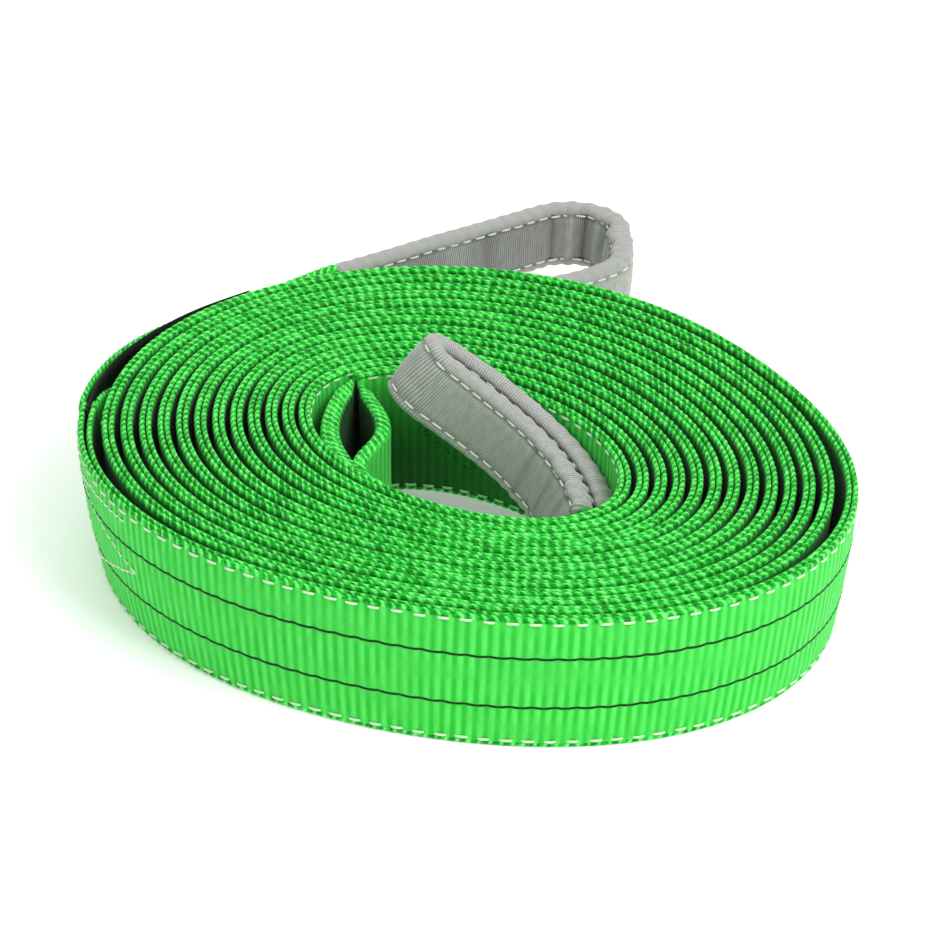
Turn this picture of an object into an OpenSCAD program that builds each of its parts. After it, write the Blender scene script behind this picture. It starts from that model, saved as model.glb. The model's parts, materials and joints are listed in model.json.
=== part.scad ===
// Flat webbing sling with a reinforced eye at each end, coiled on edge.
// The origin is the middle of the coil on the floor and +Z is up, along the width of the webbing.
// The outer eye stands off the back of the coil. The inner eye climbs out of the hole.

/* [Webbing] */
// Width of the webbing
web_w = 62.5; // [60:0.5:63]
// Thickness of one ply
ply_t = 2.8; // [2.2:0.1:2.8]
// Gap between the two plies of the body
ply_gap = 0.1; // [0.05:0.05:0.1]
// Distance from each edge of the webbing to its seam
seam_inset = 3.1; // [2.5:0.1:5]
// Distance from each edge of the webbing to its black tracer line
tracer_inset = 19.5; // [15:0.5:21]
// Thickness of a seam thread or a tracer yarn where it stands on the webbing
thread_t = 0.15; // [0.1:0.05:0.15]

/* [Coil] */
// Number of whole turns
turns = 13; // [13]
// Longest outside size of the coil
coil_len = 372; // [370:0.5:376]
// Outside size of the coil across its long direction
coil_wid = 337; // [335:0.5:340]
// Direction of the coil's long side
coil_dir = -48; // [-50:1:-46]
// How far the outline bulges in three directions, which makes it an egg
coil_egg = 5.4; // [4:0.1:6]
// One of the three directions of the bulges
egg_dir = -36; // [-40:1:-32]
// Sideways shift of the outside of the coil
coil_x = -1.3; // [-2:0.1:0]
// Forward shift of the outside of the coil
coil_y = -1.7; // [-2:0.1:0]
// Longest size of the hole, to the middle turn
hole_len = 167.5; // [160:0.5:168]
// Size of the hole across its long direction
hole_wid = 114; // [110:1:115]
// Sideways shift of the hole
hole_x = -2.9; // [-4:0.1:-2]
// Forward shift of the hole
hole_y = -12.2; // [-13:0.1:-10]
// Direction in which the webbing leaves the coil
leave_dir = 115; // [115]
// Direction of the throat where the outer eye's two legs part
outer_throat_dir = 176; // [174:1:180]
// Direction of the throat where the inner eye's two legs part
inner_throat_dir = 130; // [129:1:131]

/* [Eyes] */
// Height of the protective sleeve around an eye
sleeve_w = 34; // [32:1:36]
// Thickness of the sleeve with the folded webbing inside
sleeve_t = 13; // [11:0.5:13.5]
// Height of the webbing where it is folded lengthwise
fold_w = 29; // [26:1:30]
// Thickness of the folded webbing
fold_t = 5.6; // [5:0.1:6]
// Distance from each edge of a sleeve to its seam
sleeve_seam_inset = 5; // [4:0.5:7]
// Inside radius of the outer eye's bow
outer_bow_r = 24; // [23:0.5:25]
// Length of the inner eye that stands out of the hole
inner_eye_len = 112; // [108:1:114]
// Inside radius of the inner eye's flattened bow
inner_bow_r = 3; // [3:0.5:4]
// Climb of the inner eye above the floor
inner_climb = 32; // [31:0.5:34]

/* [Label] */
// Height of the label
label_w = 54; // [40:1:56]
// Thickness of the label
label_t = 0.6; // [0.4:0.1:0.8]

/* [Hidden] */

green = [0.10, 0.75, 0.16];
dark_green = [0.06, 0.55, 0.12];
grey = [0.60, 0.60, 0.60];
black = [0.04, 0.04, 0.05];
white = [0.93, 0.94, 0.92];

clear = 0.05;                          // gap between a thread and the cloth under it
body_t = 2 * ply_t + ply_gap;          // the two sewn plies together
step = 7.5;                            // degrees between points along the coil
inner_end = inner_throat_dir + 360 * turns;
mid_z = web_w / 2;
$fn = 64;

// ---- the line of the coil ------------------------------------------------------------------

// Radius of an oval at direction a
function oval(len, wid, dir, a) =
    len * wid / 2 / norm([wid * cos(a - dir), len * sin(a - dir)]);

// A smooth bump at one direction of the coil
function bump(a, at, spread) =
    let (off = ((a - at + 180) % 360 + 360) % 360 - 180) exp(-pow(off / spread, 2));

// Slack behind the outermost turn, widest at the front right and at the left
function slack(a) = 0.6 + 3.6 * bump(a, 322, 38) + 1.8 * bump(a, 185, 35);

function ease(x) = let (u = min(max(x, 0), 1)) u * u * (3 - 2 * u);

// Point on the outside face of the body, t degrees along the coil from its outer end
function coil_point(t) =
    let (k = (t - leave_dir) / 360, s = k / turns)
    let (rim = oval(coil_len, coil_wid, coil_dir, t) + coil_egg * cos(3 * (t - egg_dir)))
    let (hole = oval(hole_len, hole_wid, coil_dir, t))
    let (r = rim * (1 - s) + hole * s - slack(t) * ease((k - 0.65) / 0.45) * (1 - s))
    [coil_x * (1 - s) + hole_x * s + r * cos(t), coil_y * (1 - s) + hole_y * s + r * sin(t)];

// Outward direction at that point
function coil_normal(t) =
    let (d = coil_point(t + 0.5) - coil_point(t - 0.5)) [d.y, -d.x] / norm(d);

function beside(t, off) = coil_point(t) + off * coil_normal(t);

// Evenly stepped directions, with both ends included
function stations(t0, t1) =
    concat([t0], [for (t = (floor(t0 / step) + 1) * step; t < t1 - 1; t = t + step) t], [t1]);

function reversed(list) = [for (i = [len(list) - 1:-1:0]) list[i]];

// A layer that follows the coil between two offsets from its outside face
module coil_layer(t0, t1, off0, off1, z0, z1) {
    list = stations(t0, t1);
    translate([0, 0, z0])
        linear_extrude(z1 - z0)
            polygon(concat([for (t = list) beside(t, off1)], reversed([for (t = list) beside(t, off0)])));
}

// ---- curves of the eyes --------------------------------------------------------------------

function bezier(p, u) =
    pow(1 - u, 3) * p[0] + 3 * u * pow(1 - u, 2) * p[1] + 3 * u * u * (1 - u) * p[2] + u * u * u * p[3];

function curve(p, count) = [for (i = [0:count]) bezier(p, i / count)];

function direction(a) = [cos(a), sin(a)];

// Left-hand normal of a line of points, at point i
function left_of(line, i) =
    let (d = line[min(i + 1, len(line) - 1)] - line[max(i - 1, 0)]) [-d.y, d.x] / norm(d);

function offset_line(line, off) = [for (i = [0:len(line) - 1]) line[i] + off * left_of(line, i)];

// A band standing on edge along a line of points, between two offsets to its left
module band(line, off0, off1, z0, z1) {
    translate([0, 0, z0])
        linear_extrude(z1 - z0)
            polygon(concat(offset_line(line, off0), reversed(offset_line(line, off1))));
}

// A line carried on past its last point, or back before its first
function longer_end(line, more) =
    let (last = len(line) - 1, d = line[last] - line[last - 1])
    more == 0 ? line : concat(line, [line[last] + more * d / norm(d)]);

function longer_start(line, more) = reversed(longer_end(reversed(line), more));

// A band along a whole eye: out along one leg, clockwise round the bow, and back along the other.
// An offset to the left is away from the inside of the eye.
// The legs are a hair thinner than the bow and run a little way into it, so no two faces coincide.
module eye_band(out_leg, back_leg, centre, r, a0, a1, off0, off1, z0, z1) {
    lap = 1;
    hair = 0.03;
    band(longer_end(out_leg, lap), off0 + hair, off1 - hair, z0 + hair, z1 - hair);
    translate([centre.x, centre.y, z0])
        rotate([0, 0, a1])
            rotate_extrude(angle = a0 - a1)
                translate([r + off0, 0])
                    square([off1 - off0, z1 - z0]);
    band(longer_start(back_leg, lap), off0 + hair, off1 - hair, z0 + hair, z1 - hair);
}

// ---- outer eye -----------------------------------------------------------------------------

outer_r = outer_bow_r + sleeve_t / 2;         // radius of the bow's middle line
outer_bow = [41.5, 249.5];                     // centre of the bow
far_dir = 38.6;                               // heading of the far leg
near_dir = 51;                                // heading of the near leg, which returns the other way
far_len = 121;                                // straight part of the far leg
sleeve_rim_gap = 0.8;                         // from the coil to the sleeve
far_tangent = outer_bow + outer_r * direction(far_dir + 90);
hinge_far = far_tangent - far_len * direction(far_dir);  // where the far leg enters its sleeve
near_tangent = outer_bow + outer_r * direction(near_dir - 90);
near_hug_dir = 92;                            // the near leg leaves the coil here
near_end_dir = 111.5;                         // the near leg's sleeve ends here

far_line = [hinge_far, far_tangent];
near_from = beside(near_hug_dir + 360, sleeve_t / 2 + sleeve_rim_gap);
near_start = near_tangent - 4 * direction(near_dir);
near_bend = [
    near_start,
    near_start - 18 * direction(near_dir),
    near_from + 26 * direction(near_hug_dir - 90),
    near_from
];
near_line = concat(
    [near_tangent],
    curve(near_bend, 10),
    [for (a = [near_hug_dir + 4.5:5:near_end_dir + 0.1]) beside(a + 360, sleeve_t / 2 + sleeve_rim_gap)]
);
outer_z0 = mid_z - sleeve_w / 2;

// With more, the band runs past both ends of the sleeve
module outer_eye_band(off0, off1, z0, z1, more = 0) {
    eye_band(
        longer_start(far_line, more), longer_end(near_line, more),
        outer_bow, outer_r, far_dir + 90, near_dir - 90, off0, off1, z0, z1);
}

module outer_eye_webbing() {
    color(dark_green)
        outer_eye_band(-fold_t / 2, fold_t / 2, mid_z - fold_w / 2, mid_z + fold_w / 2);
}

module outer_eye_sleeve() {
    room = 0.3;
    color(grey)
        difference() {
            outer_eye_band(-sleeve_t / 2, sleeve_t / 2, outer_z0, outer_z0 + sleeve_w);
            outer_eye_band(
                -fold_t / 2 - room, fold_t / 2 + room,
                mid_z - fold_w / 2 - room, mid_z + fold_w / 2 + room, 2);
        }
}

// A sleeve seam shows on both faces of the sleeve
module outer_sleeve_seam(z) {
    face = sleeve_t / 2 + clear;
    color(white) {
        outer_eye_band(face, face + thread_t, z - 0.6, z + 0.6);
        outer_eye_band(-face - thread_t, -face, z - 0.6, z + 0.6);
    }
}

module outer_sleeve_upper_seam() { outer_sleeve_seam(outer_z0 + sleeve_w - sleeve_seam_inset); }

module outer_sleeve_lower_seam() { outer_sleeve_seam(outer_z0 + sleeve_seam_inset); }

// ---- legs of the outer eye, between the throat and the sleeve ------------------------------

leg_t = 3.2;                                  // webbing that is partly folded
leg_w = 44;
throat_gap = 1.5;                             // degrees left open at the throat
label_off = -2.6;                             // inner face of the label from the line of the coil
far_leg_off = label_off + label_t + 0.7 + leg_t / 2;
near_leg_off = -5.9;
far_leave_dir = 134;                          // the far leg leaves the line of the coil here
far_from = beside(far_leave_dir, far_leg_off);
far_leg_line = concat(
    reversed([for (t = stations(far_leave_dir + 4, outer_throat_dir - throat_gap)) beside(t, far_leg_off)]),
    curve([
        far_from,
        far_from + 18 * direction(far_leave_dir - 88),
        hinge_far - 20 * direction(far_dir + 6) - 4 * direction(far_dir),
        hinge_far - 4 * direction(far_dir)
    ], 6)
);

module outer_eye_legs() {
    color(green) {
        band(far_leg_line, -leg_t / 2, leg_t / 2, mid_z - leg_w / 2, mid_z + leg_w / 2);
        coil_layer(
            near_end_dir + 5, outer_throat_dir - throat_gap,
            near_leg_off - leg_t / 2, near_leg_off + leg_t / 2,
            mid_z - leg_w / 2, mid_z + leg_w / 2);
    }
}

// ---- inner eye, built along +X and then turned to its heading and climb --------------------

inner_r = inner_bow_r + sleeve_t / 2;
inner_heading = 145;
inner_root = [45, -31, 25];
inner_bow_x = inner_eye_len - inner_bow_r - sleeve_t;
inner_out = [[0, inner_r], [inner_bow_x, inner_r]];
inner_back = [[inner_bow_x, -inner_r], [0, -inner_r]];

module inner_eye_band(off0, off1, z0, z1, more = 0) {
    translate(inner_root)
        rotate([0, -inner_climb, inner_heading])
            eye_band(
                longer_start(inner_out, more), longer_end(inner_back, more),
                [inner_bow_x, 0], inner_r, 90, -90, off0, off1, z0, z1);
}

module inner_eye_webbing() {
    color(dark_green)
        inner_eye_band(-fold_t / 2, fold_t / 2, -fold_w / 2, fold_w / 2);
}

module inner_eye_sleeve() {
    room = 0.3;
    color(grey)
        difference() {
            inner_eye_band(-sleeve_t / 2, sleeve_t / 2, -sleeve_w / 2, sleeve_w / 2);
            inner_eye_band(
                -fold_t / 2 - room, fold_t / 2 + room,
                -fold_w / 2 - room, fold_w / 2 + room, 2);
        }
}

module inner_sleeve_seam(z) {
    face = sleeve_t / 2 + clear;
    color(white) {
        inner_eye_band(face, face + thread_t, z - 0.6, z + 0.6);
        inner_eye_band(-face - thread_t, -face, z - 0.6, z + 0.6);
    }
}

module inner_sleeve_upper_seam() { inner_sleeve_seam(sleeve_w / 2 - sleeve_seam_inset); }

module inner_sleeve_lower_seam() { inner_sleeve_seam(sleeve_seam_inset - sleeve_w / 2); }

// ---- legs of the inner eye, inside the hole ------------------------------------------------

wall_leg_off = -0.9 - leg_t / 2;              // the leg along the wall of the hole
free_leg_off = wall_leg_off - leg_t - 1.4;    // the leg inside it
wall_end_dir = 318;                           // both legs leave the wall here
open_dirs = [inner_throat_dir + 3, 160, 206]; // the free leg bows away from the wall between these
bow_depth = 26;
leg_gap = 11;                                 // from the end of the legs to the eye

// How far the free leg stands off its usual line
function free_bow(a) =
    a < open_dirs[1] ? sin(90 * (a - open_dirs[0]) / (open_dirs[1] - open_dirs[0]))
        : ease((open_dirs[2] - a) / (open_dirs[2] - open_dirs[1]));

function leg_stations() = [for (a = [open_dirs[0]:6:wall_end_dir]) a];

function inner_leg_line(off, bow, side) =
    let (turn_in = inner_root - [0, 0, inner_root.z])
    let (meet = [turn_in.x, turn_in.y] + side * direction(inner_heading + 90) - leg_gap * direction(inner_heading))
    let (from = beside(wall_end_dir + 360 * turns, off))
    concat(
        [for (a = leg_stations()) beside(a + 360 * turns, off - bow * free_bow(a))],
        curve([
            from,
            from + 10 * direction(wall_end_dir + 80),
            meet - 8 * direction(inner_heading - 10),
            meet
        ], 5)
    );

module inner_eye_legs() {
    top = web_w - 4;
    color(green) {
        band(inner_leg_line(wall_leg_off, 0, -inner_r), -leg_t / 2, leg_t / 2, 0.5, top);
        band(inner_leg_line(free_leg_off, bow_depth, inner_r), -leg_t / 2, leg_t / 2, 0.5, top);
    }
}

// ---- body of the sling ---------------------------------------------------------------------

module outer_ply() {
    color(green)
        coil_layer(outer_throat_dir, inner_end, -ply_t, 0, 0, web_w);
}

module inner_ply() {
    color(green)
        coil_layer(outer_throat_dir, inner_end, -body_t, -ply_t - ply_gap, 0, web_w);
}

// An edge seam holds the two plies together and shows on both faces
module edge_seam(z) {
    color(white) {
        coil_layer(outer_throat_dir + 1, inner_end - 1, clear, clear + thread_t, z - 0.5, z + 0.5);
        coil_layer(
            outer_throat_dir + 1, inner_end - 1,
            -body_t - clear - thread_t, -body_t - clear, z - 0.5, z + 0.5);
    }
}

module upper_edge_seam() { edge_seam(web_w - seam_inset); }

module lower_edge_seam() { edge_seam(seam_inset); }

module tracer(z) {
    color(black)
        coil_layer(outer_throat_dir + 1, inner_end - 1, clear, clear + thread_t, z - 0.5, z + 0.5);
}

module upper_tracer() { tracer(web_w - tracer_inset); }

module lower_tracer() { tracer(tracer_inset); }

// ---- splices, where the end of the webbing is sewn down ------------------------------------

stitch_len = 4.2;

// Stitches in a straight row on the cloth from (direction, height) a to b, on the face at an offset
module stitch_row(a, b, off) {
    mm_per_deg = norm(coil_point(a.x + 1) - coil_point(a.x));
    count = max(1, round(norm([(b.x - a.x) * mm_per_deg, b.y - a.y]) / 7));
    slope = atan2(b.y - a.y, (b.x - a.x) * mm_per_deg);
    for (i = [0:count - 1]) {
        p = a + (b - a) * (i + 0.5) / count;
        n = coil_normal(p.x);
        at = beside(p.x, off);
        translate([at.x, at.y, p.y])
            rotate([0, 0, atan2(n.y, n.x) + 90])
                rotate([0, -slope, 0])
                    cube([stitch_len, thread_t, 0.8], center = true);
    }
}

// A zigzag of stitched rows across the body, in steps along the coil from its start
module splice(from, off, spread) {
    rows = [[0, 55], [27, 32.5], [12, 18], [0, 30], [0, 8]];
    for (i = [0:len(rows) - 2]) {
        a = [from + rows[i].x * spread, rows[i].y];
        b = [from + rows[i + 1].x * spread, rows[i + 1].y];
        stitch_row(a, b, off);
    }
}

module outer_splice_stitching() {
    color(white)
        splice(outer_throat_dir + 10, 0.35 + clear, 1);
}

module inner_splice_stitching() {
    color(white)
        splice(inner_end - 62, -body_t - 0.35 - clear, 1.9);
}

// ---- label ---------------------------------------------------------------------------------

label_end_dir = 131;
label_z0 = 10;

module identification_label() {
    color(black)
        coil_layer(
            label_end_dir, outer_throat_dir - throat_gap, label_off, label_off + label_t,
            label_z0, label_z0 + label_w);
}

// The rows that hold the label in the throat
module label_stitching() {
    at_dir = outer_throat_dir - 4;
    color(white)
        for (row = [0:4])
            stitch_row([at_dir, 16 + 9 * row], [at_dir + 0.3, 22 + 9 * row], label_off - 0.2);
}

outer_ply();
inner_ply();
upper_edge_seam();
lower_edge_seam();
upper_tracer();
lower_tracer();
outer_splice_stitching();
inner_splice_stitching();
inner_eye_legs();
outer_eye_legs();
identification_label();
label_stitching();
outer_eye_webbing();
outer_eye_sleeve();
outer_sleeve_upper_seam();
outer_sleeve_lower_seam();
inner_eye_webbing();
inner_eye_sleeve();
inner_sleeve_upper_seam();
inner_sleeve_lower_seam();
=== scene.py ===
"""A coiled two-ply webbing sling with a sleeved eye at each end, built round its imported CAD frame.

Sizes are in millimetres until a mesh is made. A line is a path on the floor plan that a strip follows,
and every strip is a closed cross-section swept along its line.
"""
import json
import math

import bpy
import numpy as np
from mathutils import Matrix, Vector


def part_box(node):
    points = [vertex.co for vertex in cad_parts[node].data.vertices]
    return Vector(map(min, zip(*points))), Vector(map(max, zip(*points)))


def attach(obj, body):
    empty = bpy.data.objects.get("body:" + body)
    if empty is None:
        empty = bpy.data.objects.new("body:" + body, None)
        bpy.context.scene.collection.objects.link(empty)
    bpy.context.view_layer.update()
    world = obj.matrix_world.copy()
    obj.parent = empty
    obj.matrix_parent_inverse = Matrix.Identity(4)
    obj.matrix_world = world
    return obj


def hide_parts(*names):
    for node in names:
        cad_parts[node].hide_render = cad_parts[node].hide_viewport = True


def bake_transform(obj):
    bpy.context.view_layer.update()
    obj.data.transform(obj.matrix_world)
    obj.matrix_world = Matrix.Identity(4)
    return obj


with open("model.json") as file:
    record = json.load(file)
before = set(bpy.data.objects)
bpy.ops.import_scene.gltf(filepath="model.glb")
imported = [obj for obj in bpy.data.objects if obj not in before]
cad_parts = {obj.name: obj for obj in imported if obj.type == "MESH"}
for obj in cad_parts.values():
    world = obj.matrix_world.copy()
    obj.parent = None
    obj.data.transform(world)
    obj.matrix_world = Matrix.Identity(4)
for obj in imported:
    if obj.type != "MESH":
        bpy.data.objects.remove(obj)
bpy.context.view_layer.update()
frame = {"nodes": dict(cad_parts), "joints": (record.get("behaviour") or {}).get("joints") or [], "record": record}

MM = 0.001
THROAT_ANGLE = 176            # direction of the outer throat from the middle of the coil, in degrees

# The weave
COLUMN = 0.8                  # between two cross-sections along the webbing
RIB = 4.8                     # between two ribs of the weave
RIB_RISE = 0.24               # height of a rib on an open face
HIDDEN_RISE = 0.05            # the same where turns press on each other
BEAD_RISE = 0.5               # height of a weft loop on an edge of the webbing
BEAD_SWELL = 0.2
BEAD_SLANT = 1.1              # how far a loop leans along the webbing as it crosses a ply
SQUEEZE = 0.12                # cloth lost from each ply where plies press together
LEFT_LEAN = 0.0625            # share by which the coil's left side is narrower on the floor than at its top
RIGHT_LEAN = 0.035            # and its right side
LEAN_POWER = 1.6              # the sides stand upright at the rim and tuck in below

# The coil, measured from the CAD nodes
web_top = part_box("outer_ply")[1].z / MM
upper_seam_z, lower_seam_z, upper_tracer_z, lower_tracer_z = (
    sum(corner.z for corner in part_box(node)) / 2 / MM
    for node in ("upper_edge_seam", "lower_edge_seam", "upper_tracer", "lower_tracer"))
joints = {joint["name"]: joint for joint in frame["joints"]}
mounts = {mount["name"]: mount for mount in frame["record"]["mounts"]}


# ---- lines ---------------------------------------------------------------------------------

def heading(angle):
    return np.array([math.cos(math.radians(angle)), math.sin(math.radians(angle))])


def ease(x):
    x = np.clip(x, 0, 1)
    return x * x * (3 - 2 * x)


def wander(u, seed, length):
    """A slow, smooth and repeatable waver between about -1 and 1."""
    random = np.random.default_rng(seed)
    total = np.zeros_like(u, dtype=float)
    for octave in (1.0, 0.53, 0.29):
        total += octave ** 0.7 * np.sin(u / (length * octave) + random.uniform(0, 2 * math.pi))
    return total / 2


class Line:
    """Evenly spaced points on a smooth path through the given ones, with right-hand normals."""

    def __init__(self, points, step):
        points = np.asarray(points, float)
        chord = np.concatenate([[0], np.cumsum(np.linalg.norm(np.diff(points, axis=0), axis=1))])
        slope = np.gradient(points, chord, axis=0)
        at = np.linspace(0, chord[-1], max(int(chord[-1] / step) * 2, 16))
        i = np.clip(np.searchsorted(chord, at, side="right") - 1, 0, len(points) - 2)
        span = (chord[i + 1] - chord[i])[:, None]
        x = ((at - chord[i])[:, None]) / span
        fine = ((2 * x**3 - 3 * x**2 + 1) * points[i] + (x**3 - 2 * x**2 + x) * span * slope[i]
                + (3 * x**2 - 2 * x**3) * points[i + 1] + (x**3 - x**2) * span * slope[i + 1])
        run = np.concatenate([[0], np.cumsum(np.linalg.norm(np.diff(fine, axis=0), axis=1))])
        self.u = np.linspace(0, run[-1], max(int(round(run[-1] / step)), 8) + 1)
        self.at = np.stack([np.interp(self.u, run, fine[:, k]) for k in (0, 1)], 1)
        ahead = np.gradient(self.at, axis=0)
        self.ahead = ahead / np.linalg.norm(ahead, axis=1)[:, None]
        self.right = np.stack([self.ahead[:, 1], -self.ahead[:, 0]], 1)

    def part(self, first, last):
        """The stretch between two distances along the line, keeping its distances."""
        keep = (self.u >= first - 1e-6) & (self.u <= last + 1e-6)
        piece = object.__new__(Line)
        for name in ("u", "at", "ahead", "right"):
            setattr(piece, name, getattr(self, name)[keep])
        return piece

    def beside(self, off):
        return self.at + off * self.right


def outlines(node):
    """The outlines of the top of a node whose solids are upright prisms."""
    mesh = frame["nodes"][node].data
    co = np.empty(len(mesh.vertices) * 3)
    mesh.vertices.foreach_get("co", co)
    co = co.reshape(-1, 3) / MM
    top = co[:, 2].max() - 0.01
    edges = set()
    for face in mesh.polygons:
        if all(co[v][2] > top for v in face.vertices):
            keys = [tuple(np.round(co[v][:2], 3)) for v in face.vertices]
            edges.update(zip(keys, keys[1:] + keys[:1]))
    after = {a: b for a, b in edges if (b, a) not in edges}
    loops = []
    while after:
        here = min(after)
        loop = []
        while here in after:
            loop.append(here)
            here = after.pop(here)
        loops.append(np.array(loop))
    return loops


def long_sides(loop):
    """The two long sides of a strip's outline, both from the same end, found by its four corners."""
    step = np.roll(loop, -1, 0) - loop
    course = np.arctan2(step[:, 1], step[:, 0])
    turn = (course - np.roll(course, 1) + math.pi) % (2 * math.pi) - math.pi
    corners = sorted(np.argsort(-np.abs(turn))[:4])
    first = 0 if corners[1] - corners[0] > 1 else 1
    loop = np.roll(loop, -corners[first], 0)
    corners = sorted((c - corners[first]) % len(loop) for c in corners)
    return loop[: corners[1] + 1], loop[corners[2] : corners[3] + 1][::-1]


def coil_line():
    """The outside face of the outer ply, from the outer throat to the inner one."""
    sides = long_sides(outlines("outer_ply")[0])
    if np.linalg.norm(sides[0][0]) < np.linalg.norm(sides[0][-1]):
        sides = [side[::-1] for side in sides]
    return Line(max(sides, key=lambda side: np.linalg.norm(side[0])), COLUMN)


def middle_line(loop, start):
    """The middle of a strip, from the end that lies nearer to start."""
    sides = long_sides(loop)
    points = (sides[0] + sides[1]) / 2
    if np.linalg.norm(points[0] - start) > np.linalg.norm(points[-1] - start):
        points = points[::-1]
    return points


def bezier(a, b, c, d, count):
    x = np.linspace(0, 1, count)[:, None]
    return (1 - x)**3 * a + 3 * x * (1 - x)**2 * b + 3 * x**2 * (1 - x) * c + x**3 * d


def unrolled_angle(line):
    """Direction seen from the middle of the coil, counted up from the outer throat."""
    angle = np.degrees(np.unwrap(np.arctan2(line.at[:, 1], line.at[:, 0])))
    return angle - 360 * round((angle[0] - THROAT_ANGLE) / 360)


def eased_turns(line):
    """Share the room inside the outermost turn with the turns behind it, save where it gapes at the right."""
    angle = unrolled_angle(line)
    turn = (angle - THROAT_ANGLE) / 360
    direction = angle % 360
    room = np.exp(-((direction - 308) / 28)**2) * (direction < 350)
    behind = ease((turn - 0.85) / 0.3) * np.clip(1 - (turn - 1.2) / 5, 0, 1)
    return Line(line.at + (2.9 * room * behind)[:, None] * line.right, COLUMN)


coil = eased_turns(coil_line())
coil_angle = unrolled_angle(coil)
throat = coil.at[0]


def coil_u(angle):
    """Distance along the coil at an unrolled direction, counted up from the outer throat."""
    return float(np.interp(angle, coil_angle, coil.u))


# ---- meshes --------------------------------------------------------------------------------

def lean(co):
    """The coil tucks in a little towards the floor on its left and right."""
    co = co.copy()
    share = np.where(co[..., 0] < 0, LEFT_LEAN, RIGHT_LEAN)
    co[..., 0] *= 1 - share * np.clip(1 - co[..., 2] / web_top, 0, 1) ** LEAN_POWER
    return co


def add_mesh(name, co, corners, sizes, attributes, material):
    """A smooth mesh from vertices in mm, its faces' corners in one list, and the faces' sizes."""
    mesh = bpy.data.meshes.new(name)
    mesh.vertices.add(len(co))
    mesh.vertices.foreach_set("co", (co * MM).astype(np.float32).ravel())
    mesh.loops.add(len(corners))
    mesh.loops.foreach_set("vertex_index", corners.astype(np.int32))
    mesh.polygons.add(len(sizes))
    mesh.polygons.foreach_set("loop_start", np.concatenate([[0], np.cumsum(sizes)[:-1]]).astype(np.int32))
    mesh.polygons.foreach_set("loop_total", sizes.astype(np.int32))
    mesh.update(calc_edges=True)
    mesh.polygons.foreach_set("use_smooth", np.ones(len(sizes), bool))
    for label, values in attributes.items():
        kind = "FLOAT_VECTOR" if values.ndim == 2 else "FLOAT"
        attribute = mesh.attributes.new(label, kind, "POINT")
        key = "vector" if values.ndim == 2 else "value"
        attribute.data.foreach_set(key, values.astype(np.float32).ravel())
    mesh.materials.append(material)
    piece = bpy.data.objects.new(name, mesh)
    bpy.context.scene.collection.objects.link(piece)
    return piece


def tube(co):
    """Face corners and sizes for closed rings of points: co is [tube, ring, point, xyz]."""
    tubes, rings, count = co.shape[:3]
    t, i, j = np.ogrid[0:tubes, 0 : rings - 1, 0:count]
    here = (t * rings + i) * count
    after = (j + 1) % count
    next_ring = here + count
    quads = np.stack(np.broadcast_arrays(here + j, here + after, next_ring + after, next_ring + j), -1)
    first = (np.arange(tubes)[:, None] * rings * count + np.arange(count)[::-1])
    last = (np.arange(tubes)[:, None] * rings + rings - 1) * count + np.arange(count)
    corners = np.concatenate([quads.ravel(), first.ravel(), last.ravel()])
    sizes = np.concatenate([np.full(quads.size // 4, 4), np.full(2 * tubes, count)])
    a, b, c, d = (co.reshape(-1, 3)[quads[..., k].ravel()] for k in range(4))
    volume = np.einsum("ij,ij->", a, np.cross(b, c)) + np.einsum("ij,ij->", a, np.cross(c, d))
    if volume < 0:
        flipped = [corners[: quads.size].reshape(-1, 4)[:, ::-1].ravel()]
        flipped.append(first[:, ::-1].ravel())
        flipped.append(last[:, ::-1].ravel())
        corners = np.concatenate(flipped)
    return corners, sizes


def sweep(name, line, off, z, attributes, material, shape=lean):
    """A strip whose cross-section at each point of the line has the given offsets and heights."""
    plan = line.at[:, None, :] + off[..., None] * line.right[:, None, :]
    co = shape(np.concatenate([plan, z[..., None]], -1))
    corners, sizes = tube(co[None])
    flat = {}
    for key, value in attributes.items():
        flat[key] = value.reshape(-1, 3) if value.ndim == 3 else value.ravel()
    return add_mesh(name, co.reshape(-1, 3), corners, sizes, flat, material)


def stitches(name, middles, ahead, out, length, material, width=1.4, height=0.85):
    """Threads lying on cloth, one for each middle point, with both ends diving into it."""
    x = np.array([-1, -0.9, -0.6, 0, 0.6, 0.9, 1])
    fat = np.array([0.35, 0.75, 0.97, 1, 0.97, 0.75, 0.35])
    lift = height * (0.2 - 0.75 * x**4)
    turn = np.linspace(0, 2 * math.pi, 8, endpoint=False)
    up = np.cross(out, ahead)
    length = np.broadcast_to(length, len(middles))
    along = middles[:, None, None] + (x * length[:, None] / 2)[..., None, None] * ahead[:, None, None]
    ring = (np.cos(turn) * width / 2 * fat[:, None])[None, ..., None] * up[:, None, None]
    rise = (np.sin(turn) * height / 2 * fat[:, None] + lift[:, None])[None, ..., None] * out[:, None, None]
    co = along + ring + rise
    corners, sizes = tube(co)
    span = np.broadcast_to((x * length[:, None] / 2)[..., None], co.shape[:3])
    tag = np.broadcast_to(np.arange(len(middles))[:, None, None] * 1.7, co.shape[:3])
    around = np.broadcast_to(turn[None, None], co.shape[:3])
    cloth = np.stack([span, around, tag], -1).reshape(-1, 3)
    return add_mesh(name, co.reshape(-1, 3), corners, sizes, {"cloth": cloth}, material)


# ---- materials -----------------------------------------------------------------------------

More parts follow.
